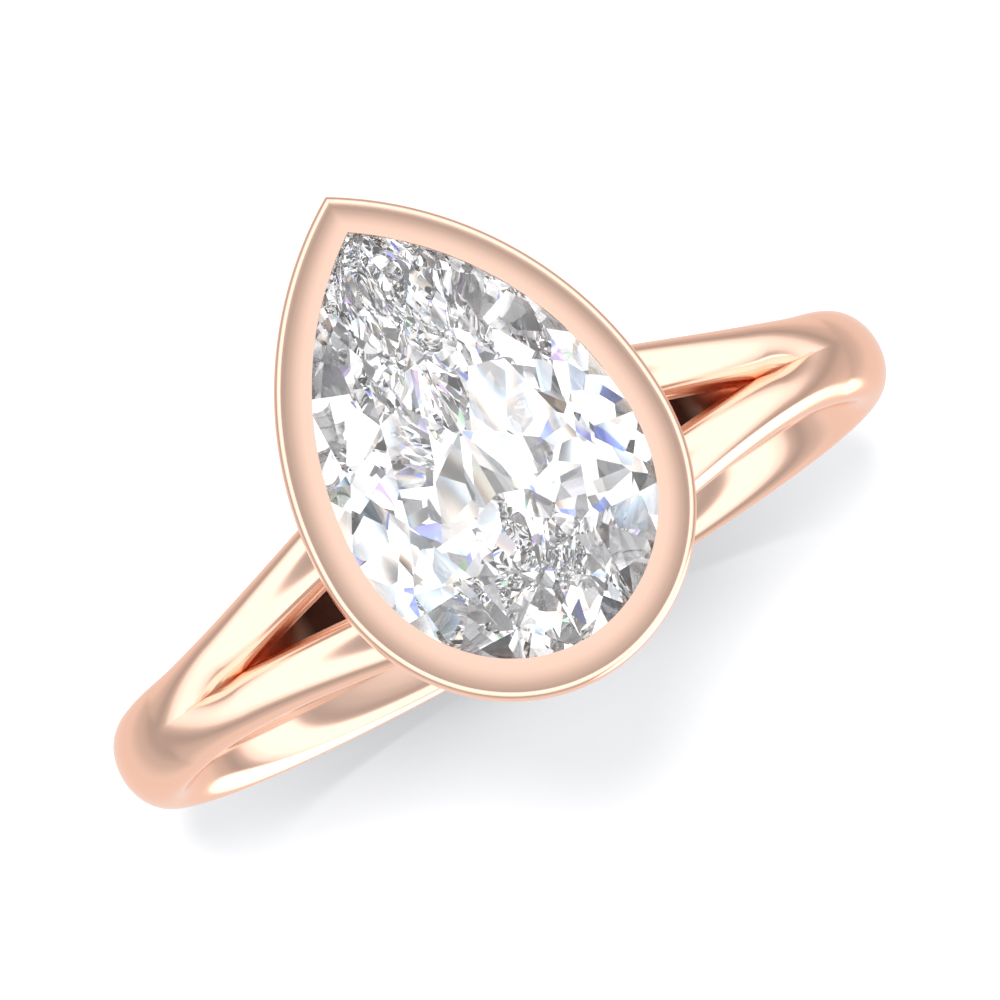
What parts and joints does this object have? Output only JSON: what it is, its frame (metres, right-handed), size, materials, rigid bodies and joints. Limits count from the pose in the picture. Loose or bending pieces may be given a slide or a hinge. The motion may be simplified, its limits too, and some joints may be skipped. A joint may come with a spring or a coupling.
{
  "type": "engagement ring",
  "caption": "Finger ring with a pear-cut clear stone in a full rose gold bezel, on a split shank whose paired arms join a plain oval band.",
  "frame": {"origin": "centre of the finger hole, in the middle of the band's width", "axes": "+Y along the finger towards the stone's tip, +Z from the finger's middle towards the stone, X across the finger between the shank's two sides"},
  "size_m": [0.0202, 0.0126, 0.024],
  "materials": {
    "shank_gold": "polished rose gold",
    "shoulder_gold": "polished rose gold",
    "bridge_gold": "polished rose gold",
    "bezel_gold": "polished rose gold",
    "head_gold": "rose gold, lightly polished inside the head",
    "diamond": "faceted and polished"
  },
  "bodies": {
    "root": {"shank_band": "shank_gold", "shoulder_left_tip": "shoulder_gold", "shoulder_left_round": "shoulder_gold", "shoulder_right_tip": "shoulder_gold", "shoulder_right_round": "shoulder_gold", "finger_bridge": "bridge_gold", "bezel_wall": "bezel_gold", "bearing_ledge": "head_gold", "gallery_rail": "head_gold", "stone": "diamond"}
  },
  "joints": []
}
